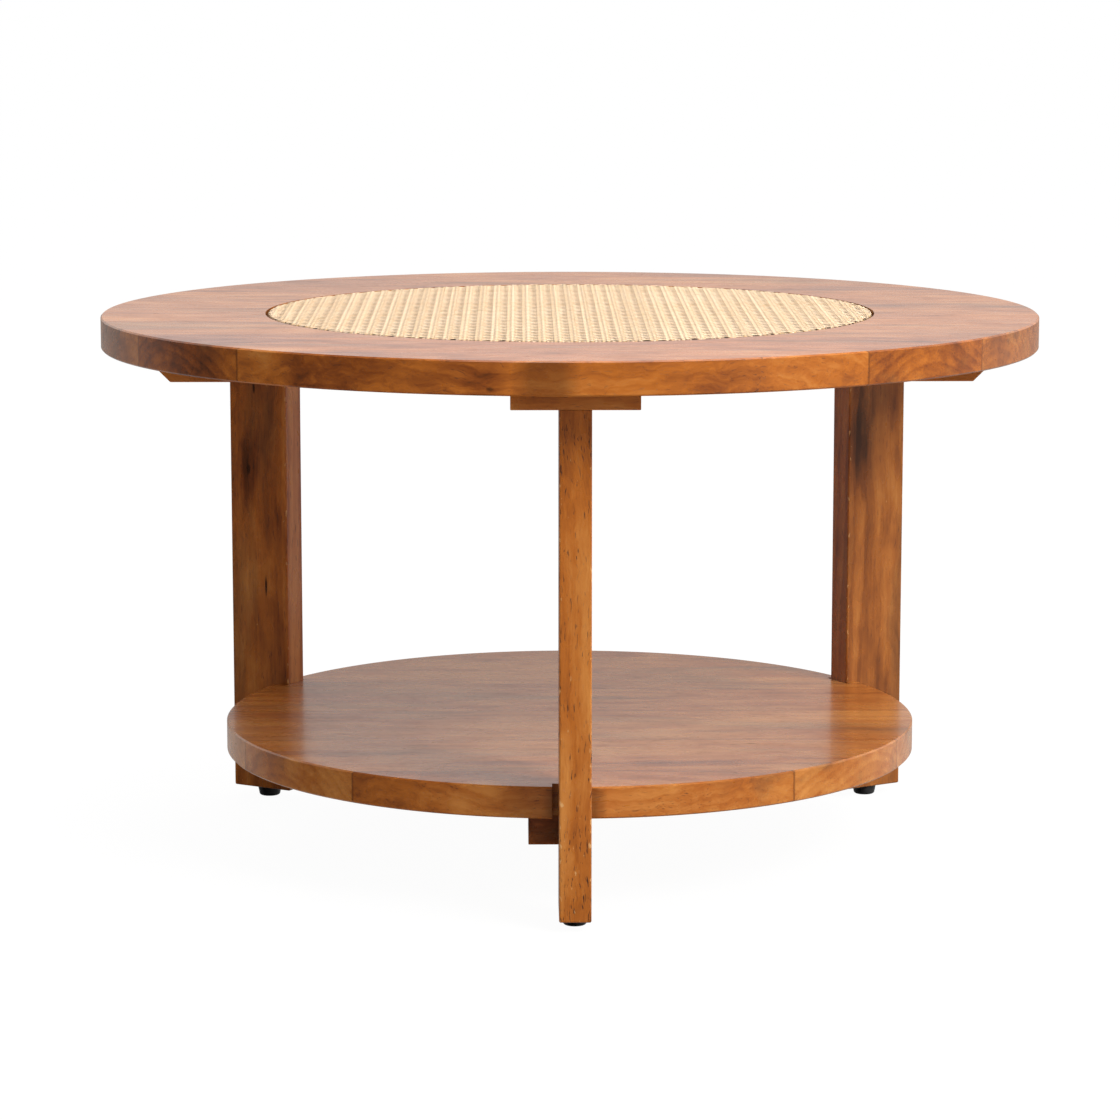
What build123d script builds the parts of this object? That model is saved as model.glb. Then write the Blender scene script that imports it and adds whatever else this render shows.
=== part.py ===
from build123d import *

import os

# A round three-legged coffee table with a round shelf below.  Millimetres, +Z up.
# The origin is on the floor, on the table's vertical axis.  The front leg stands at -Y.
# Every board, batten, cleat, glide and group of fasteners is its own node.

# ---- driving dimensions ----
TOP_RADIUS = 400.0
TOP_THICK = 27.0
TOP_ARRIS = 1.2
TOP_BOARD_WIDTH = 104.0
TOP_FIRST_JOINT = -315.5
TOP_JOINT_COUNT = 7
TOP_GRAIN_TURN = -3.3

INSET_RADIUS = 260.5
INSET_DEPTH = 9.0
BACKING_RADIUS = 257.5
BACKING_THICK = 8.0
CANE_RADIUS = 259.0
CANE_THICK = 2.0
CANE_SKIRT = 5.0

SHELF_RADIUS = 298.0
SHELF_THICK = 26.0
SHELF_ARRIS = 1.2
SHELF_TOP_Z = 107.5
SHELF_BOARD_WIDTH = 123.0
SHELF_FIRST_JOINT = -238.0
SHELF_JOINT_COUNT = 5

LEG_ANGLES = {"front": -90.0, "right": 30.0, "left": 150.0}
LEG_THICK = 25.6
LEG_WIDTH = 60.0
LEG_CENTRE_R = 315.0
LEG_ARRIS = 1.5

GLIDE_HEIGHT = 8.5
GLIDE_TOP_R = 10.8
GLIDE_FOOT_R = 9.2
GLIDE_EDGE_R = 2.2
GLIDE_RECESS_R = 4.2
GLIDE_RECESS_DEPTH = 2.6

BATTEN_THICK = 17.0
BATTEN_WIDTH = 101.0
BATTEN_ARRIS = 1.0
MIDDLE_BATTEN_Y = -100.0
MIDDLE_BATTEN_LENGTH = 659.0
REAR_BATTEN_LENGTH = 624.0
FRONT_PLATE_DEPTH = 80.0

CLEAT_LENGTH = 60.0
CLEAT_HEIGHT = 24.0
CLEAT_OVERHANG = 24.0

# The leg notches in the shelf are cut wide, and each leg sits against one side of its notch.
NOTCH_SLACK = 5.0
NOTCH_CLEARANCE = 0.3
NOTCH_OPEN_SIDE = {"front": -1, "right": 1, "left": 1}

LEG_SCREW = {"shank_r": 2.5, "head_r": 4.8, "length": 70.0}
BATTEN_SCREW = {"shank_r": 2.0, "head_r": 3.9, "length": 28.0}
CLEAT_LEG_SCREW = {"shank_r": 2.5, "head_r": 4.8, "length": 80.0}
CLEAT_SHELF_SCREW = {"shank_r": 2.0, "head_r": 3.9, "length": 36.0}
HOLE_CLEARANCE = 0.05
HEAD_SINK = 0.3

# How far the fasteners stand from the edges of the piece they hold, and how they are spread.
LEG_SCREW_EDGE = 14.0
CLEAT_SCREW_EDGE = 14.0
BATTEN_SCREW_EDGE = 25.0
PLATE_SCREW_X = (-36.0, 36.0)
PLATE_SCREW_Y = (-20.0, 20.0)
MIDDLE_SCREW_X = (-300.0, -150.0, 0.0, 150.0, 300.0)
REAR_SCREW_X = (-215.0, -72.0, 72.0, 215.0)

NAIL_SHANK_R = 1.5
NAIL_HEAD_R = 3.6
NAIL_HEAD_THICK = 1.2
NAIL_LENGTH = 24.0
NAIL_HEAD_Z = GLIDE_RECESS_DEPTH - NAIL_HEAD_THICK

# ---- levels and radii that follow from them ----
SHELF_BOTTOM_Z = SHELF_TOP_Z - SHELF_THICK
CLEAT_BOTTOM_Z = SHELF_BOTTOM_Z - CLEAT_HEIGHT
LEG_BOTTOM_Z = GLIDE_HEIGHT
TOP_BOTTOM_Z = 432.0
TOP_Z = TOP_BOTTOM_Z + TOP_THICK
BATTEN_BOTTOM_Z = TOP_BOTTOM_Z - BATTEN_THICK
LEG_LENGTH = BATTEN_BOTTOM_Z - LEG_BOTTOM_Z
LEG_INNER_R = LEG_CENTRE_R - LEG_WIDTH / 2
LEG_OUTER_R = LEG_CENTRE_R + LEG_WIDTH / 2
CLEAT_INNER_R = LEG_INNER_R - CLEAT_LENGTH
REAR_BATTEN_Y = LEG_CENTRE_R / 2
TOP_JOINTS = [TOP_FIRST_JOINT + i * TOP_BOARD_WIDTH for i in range(TOP_JOINT_COUNT)]
SHELF_JOINTS = [SHELF_FIRST_JOINT + i * SHELF_BOARD_WIDTH for i in range(SHELF_JOINT_COUNT)]

# Placements that turn a fastener pointing down (-Z) the other ways.
POINT_UP = (180, 0, 0)
POINT_OUTWARD = (0, -90, 0)


def block(low, high):
    """A box between two corners."""
    size = [b - a for a, b in zip(low, high)]
    centre = [(a + b) / 2 for a, b in zip(low, high)]
    return Pos(*centre) * Box(*size)


def disc(radius, bottom_z, thickness):
    """A flat round slab on the table's axis."""
    return Pos(0, 0, bottom_z + thickness / 2) * Cylinder(radius, thickness)


def spun(points):
    """A solid of revolution about Z from a closed outline of (radius, height) points."""
    outline = Polyline([(r, 0, z) for r, z in points], close=True)
    return revolve(make_face(outline), Axis.Z)


def screw_body(shank_r, head_r, length, grow=0.0):
    """A countersunk screw pointing down from z = 0; grow widens it into the hole it fills."""
    head_height = head_r - shank_r
    tip = 2 * shank_r
    return spun([
        (0, 0),
        (head_r + grow, 0),
        (shank_r + grow, -head_height),
        (shank_r + grow, -(length - tip)),
        (0, -(length + grow)),
    ])


def screw(shank_r, head_r, length):
    """A countersunk screw with a cross recess in its head."""
    slot_length = 1.1 * head_r
    slot_width = 0.2 * head_r
    slot_depth = 0.3 * head_r
    bar = Pos(0, 0, -slot_depth / 2) * Box(slot_length, slot_width, slot_depth)
    return screw_body(shank_r, head_r, length) - bar - Rot(0, 0, 90) * bar


def screw_holes(places, size):
    """The holes for one kind of screw, open at the head so that each can sit just below flush."""
    cutter = screw_body(**size, grow=HOLE_CLEARANCE)
    mouth_r = size["head_r"] + HOLE_CLEARANCE
    cutter += Pos(0, 0, HEAD_SINK) * Cylinder(mouth_r, 2 * HEAD_SINK)
    return [place * cutter for place in places]


def screw_group(places, size):
    """All the screws of one kind, as separate solids in one node."""
    return Compound(children=[place * screw(**size) for place in places])


# ---- where the fasteners go ----

def leg_screw_places():
    """Two screws down through the batten into each leg's end grain."""
    across = LEG_WIDTH / 2 - LEG_SCREW_EDGE
    head_z = TOP_BOTTOM_Z - HEAD_SINK
    return [
        Rot(0, 0, angle) * Pos(LEG_CENTRE_R + offset, 0, head_z)
        for angle in LEG_ANGLES.values()
        for offset in (-across, across)
    ]


def batten_screw_points():
    """The (x, y) points where a batten is screwed up to the tabletop."""
    plate_y = -(LEG_OUTER_R - FRONT_PLATE_DEPTH / 2)
    plate = [(x, plate_y + y) for x in PLATE_SCREW_X for y in PLATE_SCREW_Y]
    row = BATTEN_WIDTH / 2 - BATTEN_SCREW_EDGE
    middle = [(x, MIDDLE_BATTEN_Y + y) for x in MIDDLE_SCREW_X for y in (-row, row)]
    rear = [(x, REAR_BATTEN_Y + y) for x in REAR_SCREW_X for y in (-row, row)]
    return plate + middle + rear


def batten_screw_places():
    """Screws up through the battens into the tabletop."""
    head_z = BATTEN_BOTTOM_Z + HEAD_SINK
    return [Location((x, y, head_z), POINT_UP) for x, y in batten_screw_points()]


def cleat_leg_screw_places():
    """One screw outward through each cleat into the leg's inner edge."""
    middle_z = CLEAT_BOTTOM_Z + CLEAT_HEIGHT / 2
    head = Location((CLEAT_INNER_R + HEAD_SINK, 0, middle_z), POINT_OUTWARD)
    return [Rot(0, 0, angle) * head for angle in LEG_ANGLES.values()]


def cleat_shelf_screw_places():
    """Two screws up through each cleat into the shelf."""
    return [
        Rot(0, 0, angle) * Location((r, -CLEAT_OVERHANG, CLEAT_BOTTOM_Z + HEAD_SINK), POINT_UP)
        for angle in LEG_ANGLES.values()
        for r in (CLEAT_INNER_R + CLEAT_SCREW_EDGE, LEG_INNER_R - CLEAT_SCREW_EDGE)
    ]


def glide_places():
    """The middle of each leg's foot, at floor level."""
    return [Rot(0, 0, angle) * Pos(LEG_CENTRE_R, 0, 0) for angle in LEG_ANGLES.values()]


# ---- the timber ----

def edge_glued(slab, radius, joints, grain_turn=0.0):
    """Cut a round slab into the boards it is glued up from, front board first."""
    edges = [-radius, *joints, radius]
    height = TOP_Z + TOP_THICK
    boards = []
    for front, back in zip(edges, edges[1:]):
        lane = block((-radius, front, 0), (radius, back, height))
        boards.append(slab & Rot(0, 0, grain_turn) * lane)
    return boards


def tabletop_slab():
    """The tabletop with its eased edge, the rebate for the cane panel and the screw holes."""
    slab = disc(TOP_RADIUS, TOP_BOTTOM_Z, TOP_THICK)
    slab = chamfer(slab.edges(), TOP_ARRIS)
    slab -= disc(INSET_RADIUS, TOP_Z - INSET_DEPTH, INSET_DEPTH)
    for hole in screw_holes(batten_screw_places(), BATTEN_SCREW):
        slab -= hole
    return slab


def shelf_slab():
    """The shelf with its eased edge, a notch for each leg and the cleats' screw holes."""
    slab = disc(SHELF_RADIUS, SHELF_BOTTOM_Z, SHELF_THICK)
    slab = chamfer(slab.edges(), SHELF_ARRIS)
    for name, angle in LEG_ANGLES.items():
        side = NOTCH_OPEN_SIDE[name]
        snug = -side * (LEG_THICK / 2 + NOTCH_CLEARANCE)
        loose = side * (LEG_THICK / 2 + NOTCH_SLACK)
        low = (LEG_INNER_R - NOTCH_CLEARANCE, min(snug, loose), SHELF_BOTTOM_Z)
        high = (SHELF_RADIUS + 1, max(snug, loose), SHELF_TOP_Z)
        slab -= Rot(0, 0, angle) * block(low, high)
    for hole in screw_holes(cleat_shelf_screw_places(), CLEAT_SHELF_SCREW):
        slab -= hole
    return slab


def batten(length, centre_y):
    """A flat board under the top, along X, with its ends bevelled 45 degrees on the underside."""
    half = length / 2
    near_y = centre_y - BATTEN_WIDTH / 2
    outline = Polyline([
        (-half, near_y, BATTEN_BOTTOM_Z),
        (half, near_y, BATTEN_BOTTOM_Z),
        (half + BATTEN_THICK, near_y, TOP_BOTTOM_Z),
        (-half - BATTEN_THICK, near_y, TOP_BOTTOM_Z),
    ], close=True)
    board = extrude(make_face(outline), BATTEN_WIDTH, dir=(0, 1, 0))
    return softened_underside(board)


def front_plate():
    """The short board that joins the front leg to the tabletop."""
    half = BATTEN_WIDTH / 2
    inner_y = -(LEG_OUTER_R - FRONT_PLATE_DEPTH)
    plate = block((-half, -LEG_OUTER_R, BATTEN_BOTTOM_Z), (half, inner_y, TOP_BOTTOM_Z))
    return softened_underside(plate)


def softened_underside(board):
    """Ease the arrises around a board's lowest face."""
    underside = board.faces().sort_by(Axis.Z)[0]
    return fillet(underside.edges(), BATTEN_ARRIS)


def with_batten_holes(board):
    """Drill a batten for its own screws and for the leg screws that pass down through it."""
    for hole in screw_holes(leg_screw_places(), LEG_SCREW):
        board -= hole
    for hole in screw_holes(batten_screw_places(), BATTEN_SCREW):
        board -= hole
    return board


def leg(angle):
    """An upright slab leg, on edge to the table's axis, with its arrises eased."""
    low = (LEG_INNER_R, -LEG_THICK / 2, LEG_BOTTOM_Z)
    high = (LEG_OUTER_R, LEG_THICK / 2, LEG_BOTTOM_Z + LEG_LENGTH)
    slab = block(low, high)
    foot = slab.faces().sort_by(Axis.Z)[0]
    slab = fillet(slab.edges().filter_by(Axis.Z) + foot.edges(), LEG_ARRIS)
    slab = Rot(0, 0, angle) * slab
    holes = screw_holes(leg_screw_places(), LEG_SCREW)
    holes += screw_holes(cleat_leg_screw_places(), CLEAT_LEG_SCREW)
    holes += [place * nail_hole() for place in glide_places()]
    for hole in holes:
        slab -= hole
    return slab


def cleat(angle):
    """A block under the shelf, behind the leg, that ties the shelf to the leg."""
    low = (CLEAT_INNER_R, -LEG_THICK / 2 - CLEAT_OVERHANG, CLEAT_BOTTOM_Z)
    high = (LEG_INNER_R, LEG_THICK / 2, SHELF_BOTTOM_Z)
    body = softened_underside(block(low, high))
    body = Rot(0, 0, angle) * body
    holes = screw_holes(cleat_leg_screw_places(), CLEAT_LEG_SCREW)
    holes += screw_holes(cleat_shelf_screw_places(), CLEAT_SHELF_SCREW)
    for hole in holes:
        body -= hole
    return body


# ---- the cane panel ----

def cane_backing():
    """The thin round board that the webbing is stretched over."""
    return disc(BACKING_RADIUS, TOP_Z - INSET_DEPTH, BACKING_THICK)


def cane_webbing():
    """The woven sheet, as a shallow cap: a little proud of the wood, turned down over the backing."""
    backing_top = TOP_Z - INSET_DEPTH + BACKING_THICK
    cap = disc(CANE_RADIUS, backing_top - CANE_SKIRT, CANE_THICK + CANE_SKIRT)
    return cap - disc(BACKING_RADIUS, backing_top - CANE_SKIRT, CANE_SKIRT)


# ---- the glides and their nails ----

def glide():
    """A tapered foot with a recess below for the nail's head."""
    foot = spun([
        (0, 0),
        (GLIDE_FOOT_R, 0),
        (GLIDE_TOP_R, GLIDE_HEIGHT),
        (0, GLIDE_HEIGHT),
    ])
    rim = foot.edges().filter_by(GeomType.CIRCLE).sort_by(Axis.Z)[0]
    foot = fillet(rim, GLIDE_EDGE_R)
    foot -= disc(GLIDE_RECESS_R, 0, GLIDE_RECESS_DEPTH)
    foot -= disc(NAIL_SHANK_R + HOLE_CLEARANCE, 0, GLIDE_HEIGHT)
    return foot


def nail():
    """A flat-headed nail pointing up through the glide into the leg."""
    seat_z = NAIL_HEAD_Z + NAIL_HEAD_THICK
    tip = 2 * NAIL_SHANK_R
    return spun([
        (0, NAIL_HEAD_Z),
        (NAIL_HEAD_R, NAIL_HEAD_Z),
        (NAIL_HEAD_R, seat_z),
        (NAIL_SHANK_R, seat_z),
        (NAIL_SHANK_R, NAIL_HEAD_Z + NAIL_LENGTH - tip),
        (0, NAIL_HEAD_Z + NAIL_LENGTH),
    ])


def nail_hole():
    """The hole a glide's nail makes in the leg, from the leg's foot up."""
    depth = NAIL_HEAD_Z + NAIL_LENGTH + HOLE_CLEARANCE - LEG_BOTTOM_Z
    return disc(NAIL_SHANK_R + HOLE_CLEARANCE, LEG_BOTTOM_Z, depth)


# ---- the nodes ----

def all_nodes():
    """Every piece of the table by its node name."""
    nodes = {}
    top_boards = edge_glued(tabletop_slab(), TOP_RADIUS, TOP_JOINTS, TOP_GRAIN_TURN)
    for i, board in enumerate(top_boards, 1):
        nodes[f"top_board_{i}"] = board
    shelf_boards = edge_glued(shelf_slab(), SHELF_RADIUS, SHELF_JOINTS)
    for i, board in enumerate(shelf_boards, 1):
        nodes[f"shelf_board_{i}"] = board
    nodes["cane_backing_board"] = cane_backing()
    nodes["cane_webbing"] = cane_webbing()
    nodes["front_leg_plate"] = with_batten_holes(front_plate())
    nodes["middle_batten"] = with_batten_holes(batten(MIDDLE_BATTEN_LENGTH, MIDDLE_BATTEN_Y))
    nodes["rear_batten"] = with_batten_holes(batten(REAR_BATTEN_LENGTH, REAR_BATTEN_Y))
    for (name, angle), place in zip(LEG_ANGLES.items(), glide_places()):
        nodes[f"leg_{name}"] = leg(angle)
        nodes[f"shelf_cleat_{name}"] = cleat(angle)
        nodes[f"glide_{name}"] = place * glide()
    nodes["leg_screws"] = screw_group(leg_screw_places(), LEG_SCREW)
    nodes["batten_screws"] = screw_group(batten_screw_places(), BATTEN_SCREW)
    nodes["cleat_leg_screws"] = screw_group(cleat_leg_screw_places(), CLEAT_LEG_SCREW)
    nodes["cleat_shelf_screws"] = screw_group(cleat_shelf_screw_places(), CLEAT_SHELF_SCREW)
    nodes["glide_nails"] = Compound(children=[place * nail() for place in glide_places()])
    return nodes


os.makedirs("parts", exist_ok=True)
for name, shape in all_nodes().items():
    export_step(shape, f"parts/{name}.step")
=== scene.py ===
import math
import random

import bpy
from mathutils import Matrix, Vector


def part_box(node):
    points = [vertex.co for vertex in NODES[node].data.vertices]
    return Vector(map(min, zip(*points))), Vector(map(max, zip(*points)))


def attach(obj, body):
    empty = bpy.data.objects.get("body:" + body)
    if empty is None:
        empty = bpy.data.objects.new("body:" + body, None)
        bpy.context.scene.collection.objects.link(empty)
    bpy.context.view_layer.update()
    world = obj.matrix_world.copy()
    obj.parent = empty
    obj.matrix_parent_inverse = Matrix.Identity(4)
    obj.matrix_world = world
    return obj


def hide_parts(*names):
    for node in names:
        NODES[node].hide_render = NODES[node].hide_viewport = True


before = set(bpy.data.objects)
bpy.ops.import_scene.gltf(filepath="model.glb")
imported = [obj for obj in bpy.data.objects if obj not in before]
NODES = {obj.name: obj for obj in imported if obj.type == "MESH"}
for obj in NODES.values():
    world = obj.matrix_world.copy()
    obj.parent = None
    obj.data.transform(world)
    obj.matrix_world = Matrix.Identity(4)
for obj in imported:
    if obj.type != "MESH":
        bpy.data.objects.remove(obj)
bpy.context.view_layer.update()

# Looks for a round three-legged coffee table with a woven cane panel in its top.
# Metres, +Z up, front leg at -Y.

MM = 0.001
rng = random.Random(7)


# ---- levels, radii and angles of the CAD model ----

TOP_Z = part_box("top_board_4")[1].z
BACKING_TOP_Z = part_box("cane_backing_board")[1].z
BACKING_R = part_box("cane_backing_board")[1].x
LEG_LOW, LEG_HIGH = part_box("leg_front")
LEG_HALF = (LEG_HIGH.x - LEG_LOW.x) / 2
LEG_INNER_R = -LEG_HIGH.y
LEG_OUTER_R = -LEG_LOW.y
LEG_ANGLES = {"front": -90, "left": 150, "right": 30}
TOP_BOARDS_TURN = -3.3


# ---- shader graph helper ----

class Graph:
    """Short ways to add and join shader nodes in one node tree."""

    def __init__(self, tree):
        self.tree = tree

    def put(self, socket, value):
        if isinstance(value, bpy.types.NodeSocket):
            self.tree.links.new(value, socket)
        elif value is not None:
            socket.default_value = value

    def node(self, kind, inputs=None, **settings):
        made = self.tree.nodes.new(kind)
        for name, value in settings.items():
            setattr(made, name, value)
        for name, value in (inputs or {}).items():
            self.put(made.inputs[name], value)
        return made

    def math(self, operation, a, b=None, clamp=False):
        made = self.node("ShaderNodeMath", operation=operation, use_clamp=clamp)
        self.put(made.inputs[0], a)
        self.put(made.inputs[1], b)
        return made.outputs[0]

    def plus(self, a, b):
        return self.math("ADD", a, b)

    def minus(self, a, b):
        return self.math("SUBTRACT", a, b)

    def times(self, a, b):
        return self.math("MULTIPLY", a, b)

    def vector(self, operation, a, b=None, scale=None):
        made = self.node("ShaderNodeVectorMath", operation=operation)
        self.put(made.inputs[0], a)
        self.put(made.inputs[1], b)
        self.put(made.inputs[3], scale)
        return made.outputs[1 if operation == "LENGTH" else 0]

    def stretch(self, vector, factors):
        return self.vector("MULTIPLY", vector, factors)

    def axes(self, vector):
        """The parts of a vector, by the names X, Y and Z."""
        return self.node("ShaderNodeSeparateXYZ", {"Vector": vector}).outputs

    def place(self):
        """The point being shaded, in metres in the table's frame."""
        return self.node("ShaderNodeTexCoord").outputs["Object"]

    def noise(self, vector, scale=1.0, detail=3.0, roughness=0.55, w=0.0, output="Fac"):
        inputs = {"Vector": vector, "Scale": scale, "Detail": detail, "Roughness": roughness, "W": w}
        return self.node("ShaderNodeTexNoise", inputs, noise_dimensions="4D").outputs[output]

    def remap(self, value, low, high, to_low=0.0, to_high=1.0, smooth=False):
        made = self.node("ShaderNodeMapRange", clamp=True)
        made.interpolation_type = "SMOOTHSTEP" if smooth else "LINEAR"
        inputs = (value, low, high, to_low, to_high)
        for name, each in zip(("Value", "From Min", "From Max", "To Min", "To Max"), inputs):
            self.put(made.inputs[name], each)
        return made.outputs["Result"]

    def mix(self, factor, a, b):
        """A colour between a and b."""
        made = self.node("ShaderNodeMix", data_type="RGBA")
        self.put(made.inputs[0], factor)
        self.put(made.inputs[6], a)
        self.put(made.inputs[7], b)
        return made.outputs[2]

    def ramp(self, value, stops):
        made = self.node("ShaderNodeValToRGB", {"Fac": value})
        elements = made.color_ramp.elements
        while len(elements) < len(stops):
            elements.new(0.5)
        for element, (position, colour) in zip(elements, stops):
            element.position = position
            element.color = colour
        return made.outputs["Color"]

    def bump(self, height, strength, depth):
        inputs = {"Height": height, "Strength": strength, "Distance": depth}
        return self.node("ShaderNodeBump", inputs).outputs["Normal"]


def rgb(r, g, b):
    return (r, g, b, 1.0)


def empty_material(name):
    """A material and its graph, where graph.surface is the socket that shows."""
    material = bpy.data.materials.new(name)
    material.use_nodes = True
    material.node_tree.nodes.clear()
    graph = Graph(material.node_tree)
    graph.surface = graph.node("ShaderNodeOutputMaterial").inputs["Surface"]
    return material, graph


def new_material(name):
    """A material, its graph and a principled shader that is already joined to the surface."""
    material, graph = empty_material(name)
    shader = graph.node("ShaderNodeBsdfPrincipled")
    graph.put(graph.surface, shader.outputs["BSDF"])
    return material, graph, shader


def set_finish(graph, shader, colour, roughness, normal):
    """Join a shader's colour, roughness and normal."""
    graph.put(shader.inputs["Base Color"], colour)
    graph.put(shader.inputs["Roughness"], roughness)
    graph.put(shader.inputs["Normal"], normal)


def give(node_name, material):
    """Make this the one material of a CAD node."""
    mesh = NODES[node_name].data
    mesh.materials.clear()
    mesh.materials.append(material)


# ---- timber: the figure ----

PALE_TAN = rgb(0.62, 0.25, 0.055)
ORANGE = rgb(0.44, 0.128, 0.015)
RED_BROWN = rgb(0.235, 0.058, 0.008)
DARK_BROWN = rgb(0.065, 0.018, 0.005)
OLIVE_PALE = rgb(0.46, 0.21, 0.060)
OLIVE_MID = rgb(0.235, 0.090, 0.025)
OLIVE_DARK = rgb(0.075, 0.032, 0.012)
NEARLY_BLACK = rgb(0.016, 0.008, 0.004)
RUBBED_WOOD = rgb(0.72, 0.42, 0.17)
WARM_STOPS = [(0.0, PALE_TAN), (0.38, ORANGE), (0.70, RED_BROWN), (1.0, DARK_BROWN)]
OLIVE_STOPS = [(0.0, OLIVE_PALE), (0.50, OLIVE_MID), (1.0, OLIVE_DARK)]

# How often each part of the figure varies along, across and through the grain, per metre.
SWEEPS = (7.0, 14.0, 14.0)
CURLS = (55.0, 75.0, 75.0)
RIPPLES = (3.0, 16.0, 16.0)
FIBRES = (16.0, 620.0, 620.0)
STREAKS = (3.2, 95.0, 95.0)
CLOUDS = (20.0, 48.0, 48.0)
PATCHES = (5.0, 13.0, 13.0)
STAINS = (4.0, 26.0, 26.0)
PORES = (85.0, 900.0, 900.0)
RUBBED_SPECKS = (150.0, 420.0, 420.0)

# Added to a board's seed, so that its stain doesn't follow its other parts.
STAIN_SEED = 17.0

# How far sweeps and curls push the fibres, and ripples the rings, in metres.
SWEEP_REACH = 0.022
CURL_REACH = 0.012
LEAST_CURL = 0.0015
RIPPLE_REACH = 0.012

# The rings, and how much wider the trunk is per metre of its length.
RINGS_PER_METRE = 120.0
TRUNK_TAPER = 0.035
LATE_WOOD_POWER = 1.8
LATE_WOOD_PEAK = 0.72

# How much each part darkens the wood.
MIDDLE_VALUE = 0.38
TONE_WEIGHT = 0.3
FIBRE_WEIGHT = 0.48
STREAK_WEIGHT = 0.62
CLOUD_WEIGHT = 0.70
PATCH_WEIGHT = 0.80
RING_WEIGHT = 0.24
STAIN_WEIGHT = 0.75
PORE_WEIGHT = 0.65

# The varnish's roughness over clear wood, and what clouds and pores add to it.
SMOOTHEST = 0.18
CLOUD_ROUGHNESS = 0.20
PORE_ROUGHNESS = 0.22
COAT_ROUGHNESS = 0.12
VARNISH_IOR = 1.45

# Relief, as shares of a pore's depth: fibres stand up, late wood and marks sink.
FIBRE_RELIEF = 0.4
RING_RELIEF = 0.1
MARK_RELIEF = 2.0

TIMBER_INPUTS = {
    "Vector": "NodeSocketVector", "Seed": "NodeSocketFloat", "Heart": "NodeSocketVector",
    "Tone": "NodeSocketFloat", "Olive": "NodeSocketFloat", "Figure": "NodeSocketFloat",
    "Curl": "NodeSocketFloat", "Pores": "NodeSocketFloat",
}
TIMBER_OUTPUTS = {
    "Color": "NodeSocketColor", "Roughness": "NodeSocketFloat", "Height": "NodeSocketFloat",
}


def wandering(g, vector, seed, rate, reach):
    """The grain's vector, pushed about so that the fibres wander."""
    drift = g.noise(g.stretch(vector, rate), detail=2.0, roughness=0.5, w=seed, output="Color")
    centred = g.vector("SUBTRACT", drift, (0.5, 0.5, 0.5))
    return g.vector("ADD", vector, g.vector("SCALE", centred, scale=reach))


def late_wood(g, vector, heart, seed):
    """The growth rings about the heart line: 0 in early wood and highest late in each ring."""
    offset = g.axes(g.vector("SUBTRACT", vector, heart))
    squares = [g.times(offset[axis], offset[axis]) for axis in ("Y", "Z")]
    radius = g.math("SQRT", g.plus(squares[0], squares[1]))
    radius = g.plus(radius, g.times(offset["X"], TRUNK_TAPER))
    ripple = g.noise(g.stretch(vector, RIPPLES), w=seed, detail=1.5)
    radius = g.plus(radius, g.times(ripple, RIPPLE_REACH))
    ring = g.math("FRACT", g.times(radius, RINGS_PER_METRE))
    fall = g.remap(ring, 1.0, LATE_WOOD_PEAK, 0.0, 1.0, smooth=True)
    return g.times(g.math("POWER", ring, LATE_WOOD_POWER), fall)


def pores_in(g, vector, seed, cloud, amount):
    """Short dark pores, more of them where the wood is cloudy."""
    pore = g.noise(g.stretch(vector, PORES), w=seed, detail=1.0)
    pore = g.remap(pore, 0.62, 0.71, 0.0, 1.0, smooth=True)
    pore = g.times(pore, g.remap(cloud, 0.38, 0.62, 0.25, 1.0))
    return g.times(pore, amount)


def timber_group():
    """Wood figure from growth rings, fibres, streaks, cloudy patches, stain and pores.

    The vector runs along the grain in X, across the board in Y and through it in Z, in metres.
    """
    tree = bpy.data.node_groups.new("timber", "ShaderNodeTree")
    for sockets, way in ((TIMBER_INPUTS, "INPUT"), (TIMBER_OUTPUTS, "OUTPUT")):
        for name, kind in sockets.items():
            tree.interface.new_socket(name, in_out=way, socket_type=kind)
    g = Graph(tree)
    inside = g.node("NodeGroupInput").outputs
    seed = inside["Seed"]

    vector = wandering(g, inside["Vector"], seed, SWEEPS, SWEEP_REACH)
    curl = g.plus(g.times(inside["Curl"], CURL_REACH), LEAST_CURL)
    vector = wandering(g, vector, seed, CURLS, curl)

    late = late_wood(g, vector, inside["Heart"], seed)
    fibre = g.noise(g.stretch(vector, FIBRES), w=seed, detail=4.0, roughness=0.65)
    streak = g.noise(g.stretch(vector, STREAKS), w=seed, roughness=0.6)
    cloud = g.noise(g.stretch(vector, CLOUDS), w=seed, roughness=0.6)
    patch = g.noise(g.stretch(vector, PATCHES), w=seed, detail=2.0)
    stain = g.noise(g.stretch(vector, STAINS), w=g.plus(seed, STAIN_SEED), roughness=0.6)
    pore = pores_in(g, vector, seed, cloud, inside["Pores"])

    # Each part of the figure darkens or lightens the wood about its own middle.
    value = g.plus(MIDDLE_VALUE, g.times(inside["Tone"], TONE_WEIGHT))
    parts = (
        (fibre, FIBRE_WEIGHT), (streak, STREAK_WEIGHT), (cloud, CLOUD_WEIGHT), (patch, PATCH_WEIGHT),
    )
    for part, weight in parts:
        value = g.plus(value, g.times(g.minus(part, 0.5), weight))
    value = g.plus(value, g.times(g.times(late, inside["Figure"]), RING_WEIGHT))
    stained = g.remap(stain, 0.50, 0.72, 0.0, 1.0, smooth=True)
    stained = g.math("ADD", stained, inside["Olive"], clamp=True)
    colour = g.mix(g.times(stained, STAIN_WEIGHT), g.ramp(value, WARM_STOPS), g.ramp(value, OLIVE_STOPS))
    colour = g.mix(g.times(pore, PORE_WEIGHT), colour, DARK_BROWN)

    roughness = g.plus(g.times(cloud, CLOUD_ROUGHNESS), SMOOTHEST)
    height = g.minus(g.times(fibre, FIBRE_RELIEF), pore)
    end = g.node("NodeGroupOutput")
    g.put(end.inputs["Color"], colour)
    g.put(end.inputs["Roughness"], g.plus(roughness, g.times(pore, PORE_ROUGHNESS)))
    g.put(end.inputs["Height"], g.minus(height, g.times(late, RING_RELIEF)))
    return tree


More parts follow.
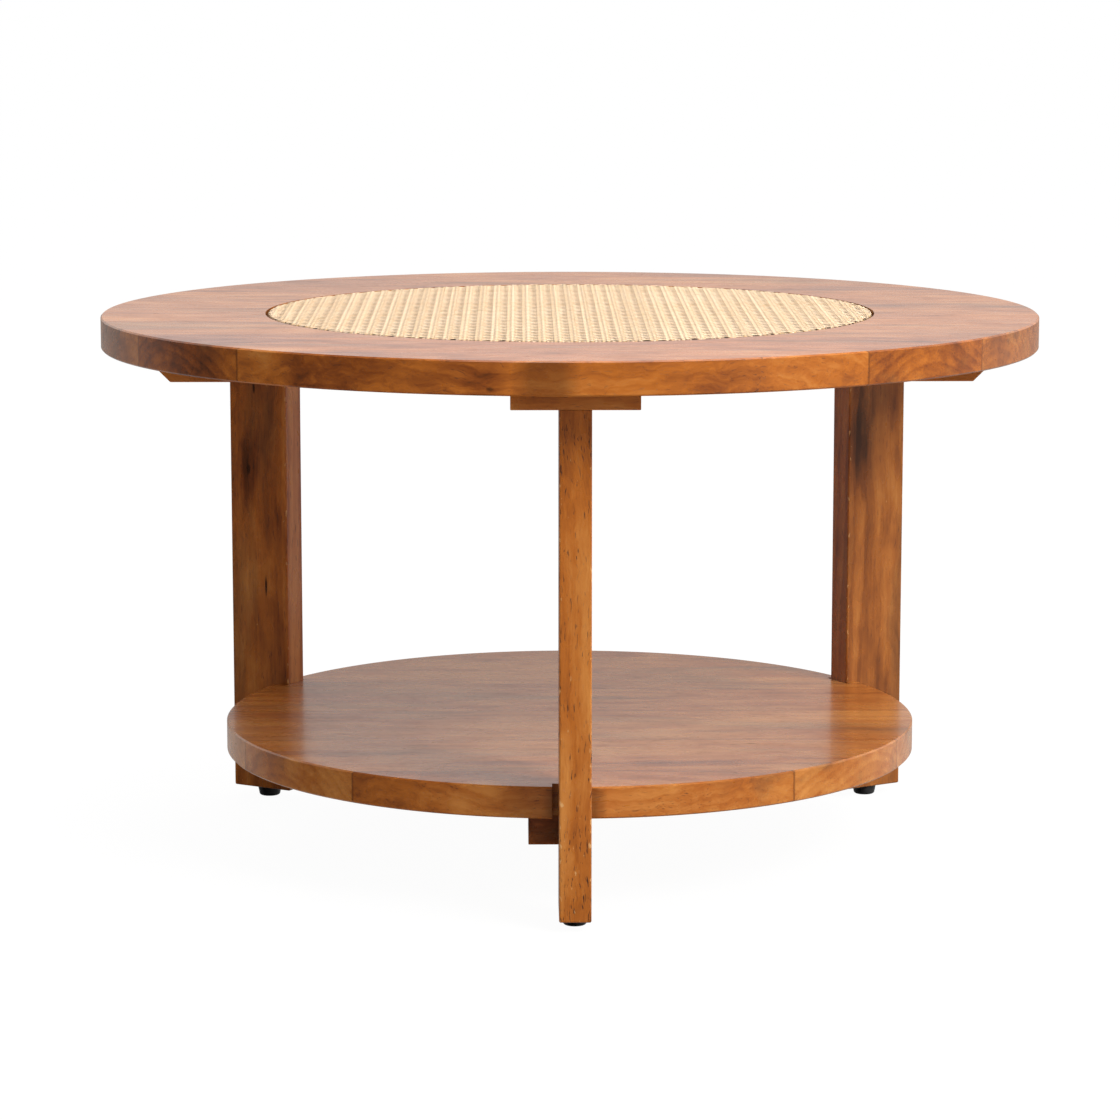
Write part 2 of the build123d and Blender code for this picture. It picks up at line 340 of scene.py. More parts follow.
# ---- timber: the material of one board ----

TIMBER = timber_group()
GRAIN_ALONG_X = Matrix.Identity(3)
TOP_TURN = Matrix.Rotation(math.radians(-TOP_BOARDS_TURN), 3, "Z")
TIMBER_BUMP_DEPTH = 0.15 * MM
TIMBER_BUMP_STRENGTH = 0.35

# A joint between boards: how dark it is, how far it keeps that, and where it has faded out.
SEAM_DARKNESS = 0.55
SEAM_HALF_WIDTH = 0.2 * MM
SEAM_FADE = 0.9 * MM

# Patches and marks: how lumpy their outlines are, and how their seeds follow from their lengths.
SPOT_LUMPS = (1.6, 1.6, 1.6)
SPOT_SEED_PER_METRE = 700
PATCH_RAGGED = 0.7
MARK_RAGGED = 0.35

# Rubbed corners: how far in they reach, how much more a corner or the foot wears, and the most
# that the wood pales.
CORNER_WEAR = 2.6 * MM
CORNER_WEAR_GAIN = 0.13
FOOT_WEAR_GAIN = 0.045
MOST_RUBBED = 0.75
# The front leg is rubbed near its foot, up to this height, and the others aren't.
FRONT_RUBBED_Z = 0.14
NOT_RUBBED_Z = -1.0


def grain_upright(angle_deg):
    """Turns a leg's upright grain to X, its radial width to Y and its thickness to Z."""
    turn_to_x = Matrix.Rotation(math.radians(-angle_deg), 3, "Z")
    reorder = Matrix(((0, 0, 1), (1, 0, 0), (0, 1, 0)))
    return reorder @ turn_to_x


def soft_spot(g, grain, point, along, across, ragged):
    """1 in the middle of a long spot lying along the grain, fading to 0 with a ragged edge."""
    offset = g.vector("SUBTRACT", grain, tuple(point))
    scaled = g.stretch(offset, (1 / along, 1 / across, 1 / across))
    broken = g.noise(g.stretch(scaled, SPOT_LUMPS), w=along * SPOT_SEED_PER_METRE)
    reach = g.plus(g.vector("LENGTH", scaled), g.times(g.minus(broken, 0.5), ragged))
    return g.remap(reach, 1.1, 0.35, 0.0, 1.0, smooth=True)


def seam(g, across, lane):
    """How dark a board is along its two joints, given their positions across the grain."""
    gaps = [g.math("ABSOLUTE", g.minus(across, edge)) for edge in lane]
    nearest = g.math("MINIMUM", gaps[0], gaps[1])
    return g.remap(nearest, SEAM_FADE, SEAM_HALF_WIDTH, 0.0, SEAM_DARKNESS)


def rubbed_corners(g, grain, seed, rubbed_below):
    """How rubbed a leg is: specks along its corners, and more of them below a height."""
    axes = g.axes(grain)
    middle = (LEG_INNER_R + LEG_OUTER_R) / 2
    reach = (LEG_OUTER_R - LEG_INNER_R) / 2
    speck = g.noise(g.stretch(grain, RUBBED_SPECKS), w=seed)
    through = g.minus(LEG_HALF, g.math("ABSOLUTE", axes["Z"]))
    across = g.minus(reach, g.math("ABSOLUTE", g.minus(axes["Y"], middle)))
    from_corner = g.math("MAXIMUM", through, across)
    corner = g.remap(from_corner, CORNER_WEAR, 0.0, 0.0, CORNER_WEAR_GAIN)
    near_foot = g.remap(axes["X"], rubbed_below + 0.02, rubbed_below - 0.05, 0.0, FOOT_WEAR_GAIN)
    wear = g.plus(speck, g.plus(corner, near_foot))
    return g.remap(wear, 0.70, 0.76, 0.0, MOST_RUBBED, smooth=True)


def timber(name, turn=GRAIN_ALONG_X, seed=0.0, heart=(0, 0, 0), tone=0.0, olive=0.0, figure=1.0,
           curl=0.15, pores=1.0, coat=0.3, patches=(), marks=(), lane=None, rubbed_below=None):
    """Varnished hardwood.

    turn carries the table's frame to the grain's, and heart is the middle of the growth rings.
    patches are (point, along, across, change of tone) and marks (point, along, across, darkness), at
    points of the table.  lane is the board's two joint positions across the grain.  A leg has
    rubbed_below, the height below which its foot is rubbed.
    """
    material, g, shader = new_material(name)
    mapping = g.node("ShaderNodeMapping", {"Vector": g.place(), "Rotation": tuple(turn.to_euler("XYZ"))})
    grain = mapping.outputs["Vector"]
    for point, along, across, change in patches:
        spot = soft_spot(g, grain, turn @ Vector(point), along, across, PATCH_RAGGED)
        tone = g.plus(tone, g.times(spot, change))
    inputs = {
        "Vector": grain, "Seed": seed, "Heart": heart, "Tone": tone, "Olive": olive,
        "Figure": figure, "Curl": curl, "Pores": pores,
    }
    wood = g.node("ShaderNodeGroup", node_tree=TIMBER)
    for socket, value in inputs.items():
        g.put(wood.inputs[socket], value)
    colour, height = wood.outputs["Color"], wood.outputs["Height"]
    for point, along, across, darkness in marks:
        spot = soft_spot(g, grain, turn @ Vector(point), along, across, MARK_RAGGED)
        colour = g.mix(g.times(spot, darkness), colour, NEARLY_BLACK)
        height = g.minus(height, g.times(spot, MARK_RELIEF))
    if lane:
        colour = g.mix(seam(g, g.axes(grain)["Y"], lane), colour, DARK_BROWN)
    if rubbed_below is not None:
        rubbed = rubbed_corners(g, grain, seed, rubbed_below)
        colour = g.mix(rubbed, colour, RUBBED_WOOD)
        height = g.minus(height, rubbed)
    normal = g.bump(height, TIMBER_BUMP_STRENGTH, TIMBER_BUMP_DEPTH)
    set_finish(g, shader, colour, wood.outputs["Roughness"], normal)
    shader.inputs["IOR"].default_value = VARNISH_IOR
    shader.inputs["Coat Weight"].default_value = coat
    shader.inputs["Coat Roughness"].default_value = COAT_ROUGHNESS
    return material


# ---- timber: each board's own looks ----

def leg_point(angle, radius, side, z):
    """A point of a leg, from its distance to the table's axis and its height.

    side is 0 in the middle of the leg's thickness, and 1 or -1 on its broad faces.
    """
    turn = math.radians(angle)
    outward = Vector((math.cos(turn), math.sin(turn), 0))
    sideways = Vector((-math.sin(turn), math.cos(turn), 0))
    return outward * radius + sideways * (side * LEG_HALF) + Vector((0, 0, z))


# Patches are (point, along, across, change of tone) and marks (point, along, across, darkness).
FRONT_KNOT = ((-0.066, -0.395, 0.437), 0.004, 0.0022, 0.6)
SHELF_FRONT_MARK = ((-0.026, -0.2454, 0.1075), 0.0022, 0.0012, 0.7)
SHELF_LEFT_MARK = ((-0.1225, -0.139, 0.1075), 0.003, 0.0014, 0.8)
TOP_LOOKS = [
    dict(
        tone=0.15, olive=-0.7, curl=0.9, marks=[FRONT_KNOT],
        patches=[
            ((-0.190, -0.352, 0.445), 0.075, 0.05, 0.55),
            ((-0.071, -0.394, 0.440), 0.020, 0.016, 0.55),
            ((0.022, -0.398, 0.447), 0.050, 0.03, -0.2),
            ((0.105, -0.385, 0.440), 0.030, 0.03, 0.35),
        ],
    ),
    dict(
        tone=0.35,
        patches=[((-0.32, -0.24, 0.445), 0.09, 0.06, 0.55), ((0.32, -0.24, 0.445), 0.09, 0.06, -0.15)],
    ),
    dict(tone=0.1, olive=0.3),
    dict(tone=-0.1, olive=0.2),
    dict(tone=0.15, olive=0.3),
    dict(tone=0.0, olive=0.3),
    dict(tone=0.1, olive=0.3),
    dict(tone=0.0, olive=0.3),
]
SHELF_LOOKS = [
    dict(
        tone=-0.45, olive=-0.3, curl=0.7, marks=[SHELF_FRONT_MARK],
        patches=[((-0.15, -0.255, 0.095), 0.08, 0.05, 0.55)],
    ),
    dict(
        tone=-0.6, olive=0.1, marks=[SHELF_LEFT_MARK],
        patches=[((-0.06, -0.205, 0.105), 0.05, 0.012, 0.9), ((0.09, -0.205, 0.105), 0.09, 0.012, 0.6)],
    ),
    dict(tone=-0.8, olive=0.15),
    dict(tone=-0.65, olive=0.1),
    dict(tone=-0.75, olive=0.1),
    dict(tone=-0.6, olive=0.1),
]
LEFT_KNOT = leg_point(LEG_ANGLES["left"], 0.3254, 1, 0.302)
LEFT_LOW_CRACK = leg_point(LEG_ANGLES["left"], 0.3078, 1, 0.196)
LEFT_HIGH_CRACK = leg_point(LEG_ANGLES["left"], 0.3185, 1, 0.376)
# Painted light: a patch here pales the left leg's narrow inner face, standing in for the light it catches
# from the right.
LEFT_INNER_FACE_PAINTED_LIGHT = leg_point(LEG_ANGLES["left"], LEG_INNER_R - 0.004, 0, 0.26)
RIGHT_STREAK = leg_point(LEG_ANGLES["right"], 0.297, -1, 0.34)
LEG_LOOKS = {
    "front": dict(
        tone=-0.2, olive=-0.7, pores=2.6, figure=0.5, curl=0.4, rubbed_below=FRONT_RUBBED_Z,
        # Painted shadow: this patch darkens the top of the front leg's front face, under the tabletop's
        # overhang.
        patches=[((0, -0.345, 0.395), 0.075, 0.03, 0.5)],
    ),
    "left": dict(
        tone=0.15, olive=-0.15, rubbed_below=NOT_RUBBED_Z,
        # The second patch is painted light on the inner face.
        patches=[(LEFT_KNOT, 0.040, 0.014, 0.8), (LEFT_INNER_FACE_PAINTED_LIGHT, 0.45, 0.016, -1.2)],
        marks=[
            (LEFT_LOW_CRACK, 0.0115, 0.0016, 0.9),
            (LEFT_HIGH_CRACK, 0.006, 0.0016, 0.85),
            (LEFT_KNOT, 0.006, 0.003, 0.7),
        ],
    ),
    "right": dict(
        tone=0.0, olive=0.55, figure=1.3, rubbed_below=NOT_RUBBED_Z,
        patches=[(RIGHT_STREAK, 0.08, 0.011, 1.3)],
    ),
}


def own_seed():
    return rng.uniform(0, 50)


def box_middle(name, turn):
    """The middle of a node's box, turned into the grain's frame."""
    low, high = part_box(name)
    return turn @ ((low + high) / 2)


def board_lane(name, turn):
    """The positions of a board's two joints across its grain."""
    positions = [(turn @ vertex.co).y for vertex in NODES[name].data.vertices]
    return min(positions), max(positions)


def dress_boards(prefix, looks, coat, turn=GRAIN_ALONG_X):
    """Give each board of a glued-up round its own piece of the tree."""
    for i, look in enumerate(looks, 1):
        name = f"{prefix}_{i}"
        middle = box_middle(name, turn)
        heart = (0, middle.y + rng.uniform(-0.03, 0.03), middle.z - rng.uniform(0.035, 0.08))
        seed = own_seed()
        figure = rng.uniform(0.6, 1.1)
        lane = board_lane(name, turn)
        give(name, timber(name, turn, seed, heart, figure=figure, coat=coat, lane=lane, **look))


def dress_leg(side):
    name = f"leg_{side}"
    turn = grain_upright(LEG_ANGLES[side])
    middle = box_middle(name, turn)
    heart = (0, middle.y + rng.uniform(-0.02, 0.02), middle.z - rng.uniform(0.025, 0.05))
    give(name, timber(name, turn, own_seed(), heart, coat=0.15, **LEG_LOOKS[side]))


def dress_batten(name):
    heart = (0, 0, TOP_Z - 0.1)
    give(name, timber(name, seed=own_seed(), heart=heart, tone=-0.15, curl=0.5, coat=0.05))


def dress_cleat(side):
    """A darker block whose grain runs across the leg."""
    name = f"shelf_cleat_{side}"
    turn = Matrix.Rotation(math.radians(-LEG_ANGLES[side] - 90), 3, "Z")
    look = dict(tone=0.8, figure=1.6, curl=0.6, coat=0.05)
    give(name, timber(name, turn, own_seed(), (0, 0.02, 0.03), **look))


def dress_timber():
    dress_boards("top_board", TOP_LOOKS, 0.2, TOP_TURN)
    dress_boards("shelf_board", SHELF_LOOKS, 0.3)
    for side in LEG_ANGLES:
        dress_leg(side)
    for name in ("front_leg_plate", "middle_batten", "rear_batten"):
        dress_batten(name)
    for side in LEG_ANGLES:
        dress_cleat(side)


# ---- the smaller CAD parts ----

BOARD_BUMP_DEPTH = 0.1 * MM
PLASTIC_BUMP_DEPTH = 0.05 * MM
PLATING_BUMP_DEPTH = 0.05 * MM


def backing_material():
    """Thin dark brown board, dry, with a soft long grain."""
    material, g, shader = new_material("backing_ply")
    place = g.place()
    grain = g.noise(g.stretch(place, (8.0, 160.0, 160.0)), detail=4.0)
    cloud = g.noise(g.stretch(place, (10.0, 16.0, 16.0)), detail=2.0)
    value = g.plus(g.times(grain, 0.6), g.times(cloud, 0.4))
    colour = g.ramp(value, [(0.3, rgb(0.16, 0.085, 0.035)), (0.7, rgb(0.09, 0.045, 0.018))])
    set_finish(g, shader, colour, 0.7, g.bump(grain, 0.3, BOARD_BUMP_DEPTH))
    return material


def glide_material():
    """Black moulded plastic, faintly mottled and scuffed."""
    material, g, shader = new_material("glide_black")
    place = g.place()
    fine = g.noise(place, scale=2500.0, detail=2.0)
    scuff = g.noise(place, scale=180.0, detail=4.0)
    colour = g.ramp(scuff, [(0.35, rgb(0.010, 0.010, 0.012)), (0.75, rgb(0.035, 0.034, 0.034))])
    roughness = g.remap(scuff, 0.3, 0.7, 0.38, 0.6)
    set_finish(g, shader, colour, roughness, g.bump(fine, 0.25, PLASTIC_BUMP_DEPTH))
    return material


def screw_material():
    """Yellow-grey zinc plating with fine turning marks."""
    material, g, shader = new_material("screw_zinc")
    place = g.place()
    stain = g.noise(place, scale=420.0)
    mark = g.noise(g.stretch(place, (300.0, 300.0, 2600.0)), detail=2.0)
    colour = g.ramp(stain, [(0.3, rgb(0.60, 0.55, 0.42)), (0.7, rgb(0.45, 0.43, 0.38))])
    roughness = g.remap(stain, 0.3, 0.7, 0.28, 0.5)
    set_finish(g, shader, colour, roughness, g.bump(mark, 0.2, PLATING_BUMP_DEPTH))
    shader.inputs["Metallic"].default_value = 1.0
    return material


def dress_small_parts():
    give("cane_backing_board", backing_material())
    black = glide_material()
    for side in LEG_ANGLES:
        give(f"glide_{side}", black)
    zinc = screw_material()
    for name in NODES:
        if name.endswith(("_screws", "_nails")):
            give(name, zinc)


# ---- woven cane ----

PITCH = 12.7 * MM
PAIR_OFFSET = 1.95 * MM
WAVE = 0.28 * MM
STRAND_HALF_WIDTH = 1.5 * MM
DIAGONAL_HALF_WIDTH = 1.25 * MM
STRAND_RISE = 0.25 * MM
STRAND_DROP = 0.17 * MM
STRAIGHT_STEP = PITCH / 8
DIAGONAL_STEP = PITCH * math.sqrt(2) / 10
WEAVE_Z = BACKING_TOP_Z + 1.0 * MM
EDGE_R = BACKING_R - 0.9 * MM
# A strand whose middle would pass closer to the edge than this is left out.
EDGE_MARGIN = 2.5 * MM
# How a strand turns down over the edge of its board: (outward, downward) from the edge.
TURN_DOWN = [(0.5 * MM, 0.15 * MM), (0.85 * MM, 0.7 * MM), (1.0 * MM, 1.6 * MM), (1.0 * MM, 4.6 * MM)]
# A strand's section: (share of the half width, share of the rise or drop), with a rounded top.
STRAND_SECTION = [(-1.0, 0.0), (-0.62, 0.85), (0.0, 1.0), (0.62, 0.85), (1.0, 0.0), (0.0, -1.0)]

# Painted light and shade: how much darker (or, below zero, paler) each set of strands is than the middle
# of its tones; the cross and diagonal strands are painted paler than the uprights, to make up for the
# shade the uprights cast on them.
UPRIGHT_PAINTED_SHADE = 0.30
OTHER_PAINTED_LIGHT = -0.28
CANE_STOPS = [
    (0.15, rgb(0.87, 0.66, 0.45)), (0.55, rgb(0.83, 0.59, 0.36)),
    (0.80, rgb(0.74, 0.49, 0.25)), (1.0, rgb(0.57, 0.36, 0.16)),
]
CANE_JOINT = rgb(0.42, 0.27, 0.11)
# Painted shade: below the weave's middle height the strands darken towards this brown, standing in for
# the shade in the hollows of the weave.
CANE_PAINTED_SHADE = rgb(0.22, 0.13, 0.045)
PAINTED_SHADE_TOP_Z = WEAVE_Z - 0.05 * MM
PAINTED_SHADE_BOTTOM_Z = WEAVE_Z - 0.5 * MM
CANE_BUMP_DEPTH = 0.06 * MM


def wave_along(axis, sign, curve):
    """Height of a strand above the weave's middle, as a wave in x or y with the mesh's pitch."""
    def height(point):
        return sign * WAVE * curve(2 * math.pi * point[axis] / PITCH)
    return height


def strand_line(origin, direction, height, step):
    """Middle line of one strand across the panel, turned down over the edge at both ends."""
    nearest = origin.dot(direction)
    foot = origin - direction * nearest
    if foot.length > EDGE_R - EDGE_MARGIN:
        return None
    half = math.sqrt(EDGE_R ** 2 - foot.length ** 2)
    count = max(2, round(2 * half / step))
    flat = [foot + direction * (half * (2 * i / count - 1)) for i in range(count + 1)]
    line = [Vector((p.x, p.y, WEAVE_Z + height(p))) for p in flat]
    for at_start in (True, False):
        rim = line[0] if at_start else line[-1]
        outward = Vector((rim.x, rim.y, 0)).normalized()
        turned = [rim + outward * out - Vector((0, 0, down)) for out, down in TURN_DOWN]
        line = turned[::-1] + line if at_start else line + turned
    return line


def strand_mesh(line, direction, half_width, verts, faces):
    """Sweep the strand's section along a line, cap both ends and return the number of points."""
    side = Vector((-direction.y, direction.x, 0))
    first = len(verts)
    for i, point in enumerate(line):
        ahead = line[min(i + 1, len(line) - 1)]
        behind = line[max(i - 1, 0)]
        along = (ahead - behind).normalized()
        up = along.cross(-side).normalized()
        for u, v in STRAND_SECTION:
            thick = STRAND_RISE if v > 0 else STRAND_DROP
            verts.append(point + side * (u * half_width) + up * (v * thick))
    n = len(STRAND_SECTION)
    last = len(verts) - n
    for a in range(first, last, n):
        for j in range(n):
            k = (j + 1) % n
            faces.append((a + j, a + n + j, a + n + k, a + k))
    faces.append(tuple(first + j for j in range(n)))
    faces.append(tuple(last + n - 1 - j for j in range(n)))
    return len(verts) - first


def cane_material(name, turn_deg, painted_light_shift):
    """Split rattan: pale gold, each strand its own tone, with fibres along it and darker joints, a
    painted tone shift of light and shade for each set of strands, and painted shade darkening the low
    parts of the weave.
    """
    material, g, shader = new_material(name)
    place = g.place()
    rotation = (0, 0, math.radians(-turn_deg))
    along = g.node("ShaderNodeMapping", {"Vector": place, "Rotation": rotation}).outputs["Vector"]
    tone = g.node("ShaderNodeAttribute", attribute_name="strand_tone").outputs["Fac"]
    fibre = g.noise(g.stretch(along, (30.0, 2200.0, 900.0)), w=g.times(tone, 9.0))
    patch = g.noise(g.stretch(along, (14.0, 60.0, 60.0)), w=g.times(tone, 31.0))
    joint = g.remap(patch, 0.66, 0.74, 0.0, 1.0, smooth=True)
    value = g.plus(g.times(tone, 0.62), g.times(patch, 0.55))
    value = g.plus(value, g.times(g.minus(fibre, 0.5), 0.35))
    # Painted light and shade: each set of strands is shifted darker or paler by its painted_light_shift.
    colour = g.ramp(g.plus(value, painted_light_shift), CANE_STOPS)
    colour = g.mix(g.times(joint, 0.55), colour, CANE_JOINT)
    # Painted shade: the low parts of each strand darken towards brown.
    painted_shade = g.remap(g.axes(place)["Z"], PAINTED_SHADE_TOP_Z, PAINTED_SHADE_BOTTOM_Z, 0.0, 0.6, smooth=True)
    colour = g.mix(painted_shade, colour, CANE_PAINTED_SHADE)
    roughness = g.remap(patch, 0.3, 0.7, 0.34, 0.5)
    set_finish(g, shader, colour, roughness, g.bump(fibre, 0.35, CANE_BUMP_DEPTH))
    return material


def cane_layer(name, direction, origins, height, half_width, step, turn_deg, painted_light_shift):
    """One set of parallel strands as a single piece that stands for the CAD webbing."""
    verts, faces, tones = [], [], []
    for origin in origins:
        tone = rng.random()
        line = strand_line(origin, direction, height, step)
        if line is not None:
            tones += [tone] * strand_mesh(line, direction, half_width, verts, faces)
    mesh = bpy.data.meshes.new(name)
    mesh.from_pydata([tuple(v) for v in verts], [], faces)
    mesh.attributes.new("strand_tone", "FLOAT", "POINT").data.foreach_set("value", tones)
    mesh.polygons.foreach_set("use_smooth", [True] * len(mesh.polygons))
    mesh.materials.append(cane_material(name, turn_deg, painted_light_shift))
    piece = bpy.data.objects.new(name, mesh)
    bpy.context.scene.collection.objects.link(piece)
    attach(piece, "root")
    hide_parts("cane_webbing")


def weave_cane():
    """Octagonal cane webbing: upright pairs, cross pairs and two sets of diagonals."""
    reach = math.ceil(BACKING_R / PITCH) + 1
    lanes = range(-reach, reach + 1)
    up, cross = Vector((0, 1)), Vector((1, 0))
    for label, sign in (("first", -1), ("second", 1)):
        offset = sign * PAIR_OFFSET
        uprights = [Vector((i * PITCH + offset, 0)) for i in lanes]
        cane_layer(f"cane_upright_{label}", up, uprights, wave_along(1, -sign, math.sin),
                   STRAND_HALF_WIDTH, STRAIGHT_STEP, 90, UPRIGHT_PAINTED_SHADE)
        crossings = [Vector((0, i * PITCH + offset)) for i in lanes]
        cane_layer(f"cane_cross_{label}", cross, crossings, wave_along(0, sign, math.sin),
                   STRAND_HALF_WIDTH, STRAIGHT_STEP, 0, OTHER_PAINTED_LIGHT)
    diagonal_lanes = range(-2 * reach, 2 * reach + 1)
    for label, sign in (("right", 1), ("left", -1)):
        direction = Vector((1, sign)).normalized()
        origins = [Vector(((k + 0.5) * PITCH, 0)) for k in diagonal_lanes]
        cane_layer(f"cane_diagonal_{label}", direction, origins, wave_along(0, -sign, math.cos),
                   DIAGONAL_HALF_WIDTH, DIAGONAL_STEP, 45 * sign, OTHER_PAINTED_LIGHT)


# ---- studio ----

WHITE = rgb(1, 1, 1)
CAMERA_DISTANCE = 3.2508
CAMERA_ABOVE_TOP = 0.3084
CAMERA_TURN = math.radians(0.767)
CAMERA_PITCH = math.radians(9.172)
CAMERA_YAW = math.radians(0.147)
SENSOR_WIDTH = 36.0
FOCAL_SHARE = 3.3895
FAR_CLIP = 400.0

# The sweep that reflections see: behind the table, and beside it on the right.
SWEEP_LEAST = 0.02
SWEEP_WHITE = 0.9
SIDE_WHITE = 0.45

FLOOR_HALF = 80.0
FLOOR_GLOW = 0.965
FLOOR_SHADE = 0.045
FLOOR_BOUNCE = (rgb(0.44, 0.43, 0.42), rgb(0.47, 0.46, 0.45))
FLOOR_MIRROR = 0.5

# The even fill: from below and above, and what is added from the right and from behind.
FILL_LOW = 0.26
FILL_HIGH = 0.42
FILL_RIGHT = 0.40
FILL_BEHIND = 1.2

# The backdrop, with (height, brightness) where its brightness starts and stops rising.
BACKDROP_Y = 2.6
BACKDROP_HALF_WIDTH = 5.0
BACKDROP_HEIGHT = 4.0
BACKDROP_LOW = (0.50, 0.34)
BACKDROP_HIGH = (0.95, 0.92)

# Each soft light: its place, its diameter, its power in watts and its colour.
LIGHT_TARGET = Vector((0, 0, 0.3))
LIGHTS = {
    "key": ((2.1, -2.1, 2.5), 1.8, 119.0, (1.0, 0.98, 0.95)),
    "overhead": ((0.3, -0.2, 3.0), 2.2, 45.0, (1.0, 1.0, 1.0)),
}


def make_camera():
    """Far back with a long lens, somewhat above the top and a hair to the left of the front leg."""
    data = bpy.data.cameras.new("camera")
    data.sensor_width = SENSOR_WIDTH
    data.lens = FOCAL_SHARE * SENSOR_WIDTH
    data.clip_end = FAR_CLIP
    camera = bpy.data.objects.new("camera", data)
    bpy.context.scene.collection.objects.link(camera)
    x = -CAMERA_DISTANCE * math.sin(CAMERA_TURN)
    y = -CAMERA_DISTANCE * math.cos(CAMERA_TURN)
    camera.location = (x, y, TOP_Z + CAMERA_ABOVE_TOP)
    heading = -CAMERA_TURN + CAMERA_YAW
    camera.rotation_euler = (math.pi / 2 - CAMERA_PITCH, 0, heading)
    bpy.context.scene.camera = camera


def sweep_group():
    """Brightness of the studio that a reflection sees in one direction, dim by the camera."""
    tree = bpy.data.node_groups.new("sweep", "ShaderNodeTree")
    tree.interface.new_socket("Direction", in_out="INPUT", socket_type="NodeSocketVector")
    tree.interface.new_socket("Strength", in_out="OUTPUT", socket_type="NodeSocketFloat")
    g = Graph(tree)
    axes = g.axes(g.node("NodeGroupInput").outputs["Direction"])
    behind = g.remap(axes["Y"], 0.05, 0.8, SWEEP_LEAST, SWEEP_WHITE, smooth=True)
    beside = g.remap(axes["X"], 0.15, 0.85, 0.0, SIDE_WHITE, smooth=True)
    end = g.node("NodeGroupOutput")
    g.put(end.inputs["Strength"], g.plus(behind, beside))
    return tree


def sweep_towards(g, sweep, direction):
    return g.node("ShaderNodeGroup", {"Direction": direction}, node_tree=sweep).outputs["Strength"]


def floor_material(sweep):
    """Pale matt floor: bright to the camera with a faint shadow, dimmer in the light it bounces up."""
    material, g, bouncing = new_material("studio_floor")
    path = g.node("ShaderNodeLightPath").outputs
    grain = g.noise(g.place(), scale=3.0)
    g.put(bouncing.inputs["Base Color"], g.mix(grain, *FLOOR_BOUNCE))
    bouncing.inputs["Roughness"].default_value = 0.9
    bouncing.inputs["Specular IOR Level"].default_value = 0.1
    glow = g.node("ShaderNodeEmission", {"Color": WHITE, "Strength": FLOOR_GLOW})
    shade = g.node("ShaderNodeBsdfDiffuse", {"Color": rgb(FLOOR_SHADE, FLOOR_SHADE, FLOOR_SHADE)})
    seen = g.node("ShaderNodeAddShader")
    g.put(seen.inputs[0], glow.outputs[0])
    g.put(seen.inputs[1], shade.outputs[0])
    outward = g.vector("SCALE", g.node("ShaderNodeNewGeometry").outputs["Incoming"], scale=-1.0)
    strength = g.times(sweep_towards(g, sweep, outward), FLOOR_MIRROR)
    mirrored = g.node("ShaderNodeEmission", {"Strength": strength})
    indirect = g.node("ShaderNodeMixShader", {"Fac": path["Is Glossy Ray"]})
    g.put(indirect.inputs[1], bouncing.outputs[0])
    g.put(indirect.inputs[2], mirrored.outputs[0])
    either = g.node("ShaderNodeMixShader", {"Fac": path["Is Camera Ray"]})
    g.put(either.inputs[1], indirect.outputs[0])
    g.put(either.inputs[2], seen.outputs[0])
    g.put(g.surface, either.outputs[0])
    return material


def backdrop_material():
    """The white sheet behind the table as the varnish mirrors it: brighter with height."""
    material, g = empty_material("studio_backdrop")
    height = g.axes(g.node("ShaderNodeNewGeometry").outputs["Position"])["Z"]
    low_z, low = BACKDROP_LOW
    high_z, high = BACKDROP_HIGH
    strength = g.remap(height, low_z, high_z, low, high, smooth=True)
    g.put(g.surface, g.node("ShaderNodeEmission", {"Strength": strength}).outputs[0])
    return material


def studio_sheet(name, corners, material):
    """A flat four-cornered sheet that belongs to the studio."""
    mesh = bpy.data.meshes.new(name)
    mesh.from_pydata(corners, [], [(0, 1, 2, 3)])
    mesh.materials.append(material)
    sheet = bpy.data.objects.new(name, mesh)
    bpy.context.scene.collection.objects.link(sheet)
    return sheet


def make_floor(sweep):
    signs = ((-1, -1), (1, -1), (1, 1), (-1, 1))
    corners = [(x * FLOOR_HALF, y * FLOOR_HALF, 0) for x, y in signs]
    studio_sheet("studio_floor", corners, floor_material(sweep))


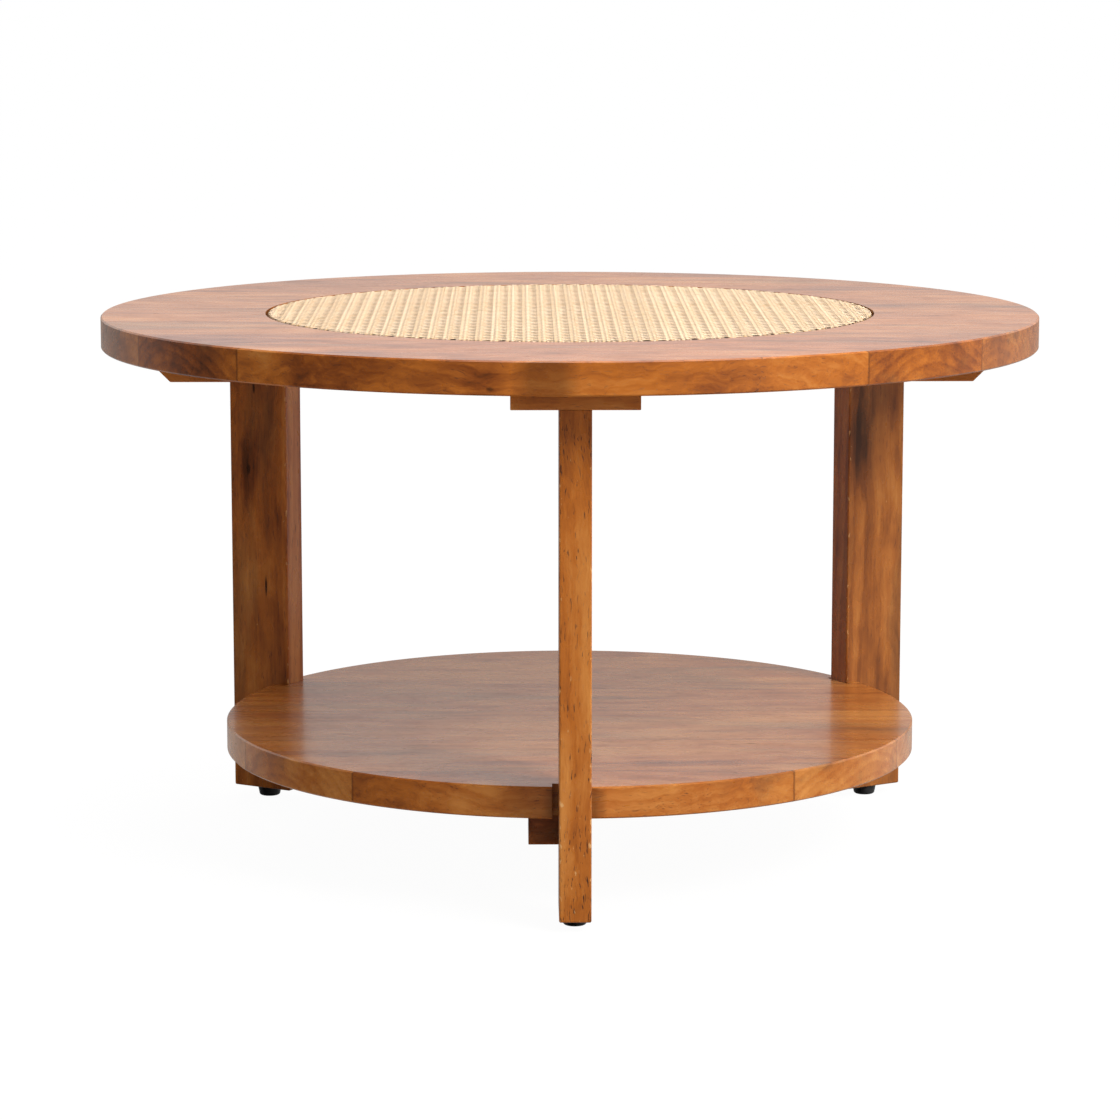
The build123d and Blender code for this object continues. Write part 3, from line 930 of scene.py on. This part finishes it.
def make_backdrop():
    """A tall sheet behind the table that only reflections see."""
    half = BACKDROP_HALF_WIDTH
    places = ((-half, 0), (half, 0), (half, BACKDROP_HEIGHT), (-half, BACKDROP_HEIGHT))
    corners = [(x, BACKDROP_Y, z) for x, z in places]
    sheet = studio_sheet("studio_backdrop", corners, backdrop_material())
    sheet.visible_camera = False
    sheet.visible_diffuse = False
    sheet.visible_shadow = False


def make_world(sweep):
    """White to the eye, a sweep in reflections and a dim even fill for everything else."""
    world = bpy.data.worlds.new("studio")
    world.use_nodes = True
    world.node_tree.nodes.clear()
    g = Graph(world.node_tree)
    path = g.node("ShaderNodeLightPath").outputs
    outward = g.node("ShaderNodeTexCoord").outputs["Generated"]
    axes = g.axes(outward)
    fill = g.remap(axes["Z"], -0.2, 1.0, FILL_LOW, FILL_HIGH)
    fill = g.plus(fill, g.remap(axes["X"], -0.5, 1.0, 0.0, FILL_RIGHT, smooth=True))
    fill = g.plus(fill, g.remap(axes["Y"], 0.0, 0.9, 0.0, FILL_BEHIND, smooth=True))
    reflected = sweep_towards(g, sweep, outward)
    strength = g.node("ShaderNodeMix", {"Factor": path["Is Glossy Ray"], "A": fill, "B": reflected})
    shown = g.node("ShaderNodeMix", {"Factor": path["Is Camera Ray"], "A": strength.outputs[0], "B": 1.0})
    background = g.node("ShaderNodeBackground", {"Color": WHITE, "Strength": shown.outputs[0]})
    output = g.node("ShaderNodeOutputWorld")
    g.put(output.inputs["Surface"], background.outputs["Background"])
    bpy.context.scene.world = world


def make_lights():
    for name, (place, diameter, power, colour) in LIGHTS.items():
        data = bpy.data.lights.new(name, "AREA")
        data.shape = "DISK"
        data.size = diameter
        data.energy = power
        data.color = colour
        light = bpy.data.objects.new(name, data)
        bpy.context.scene.collection.objects.link(light)
        light.location = place
        light.rotation_euler = (LIGHT_TARGET - Vector(place)).to_track_quat("-Z", "Y").to_euler()


def make_studio():
    sweep = sweep_group()
    make_camera()
    make_floor(sweep)
    make_backdrop()
    make_world(sweep)
    make_lights()
    bpy.context.scene.view_settings.view_transform = "Standard"
    bpy.context.scene.cycles.use_denoising = True


dress_timber()
dress_small_parts()
weave_cane()
make_studio()
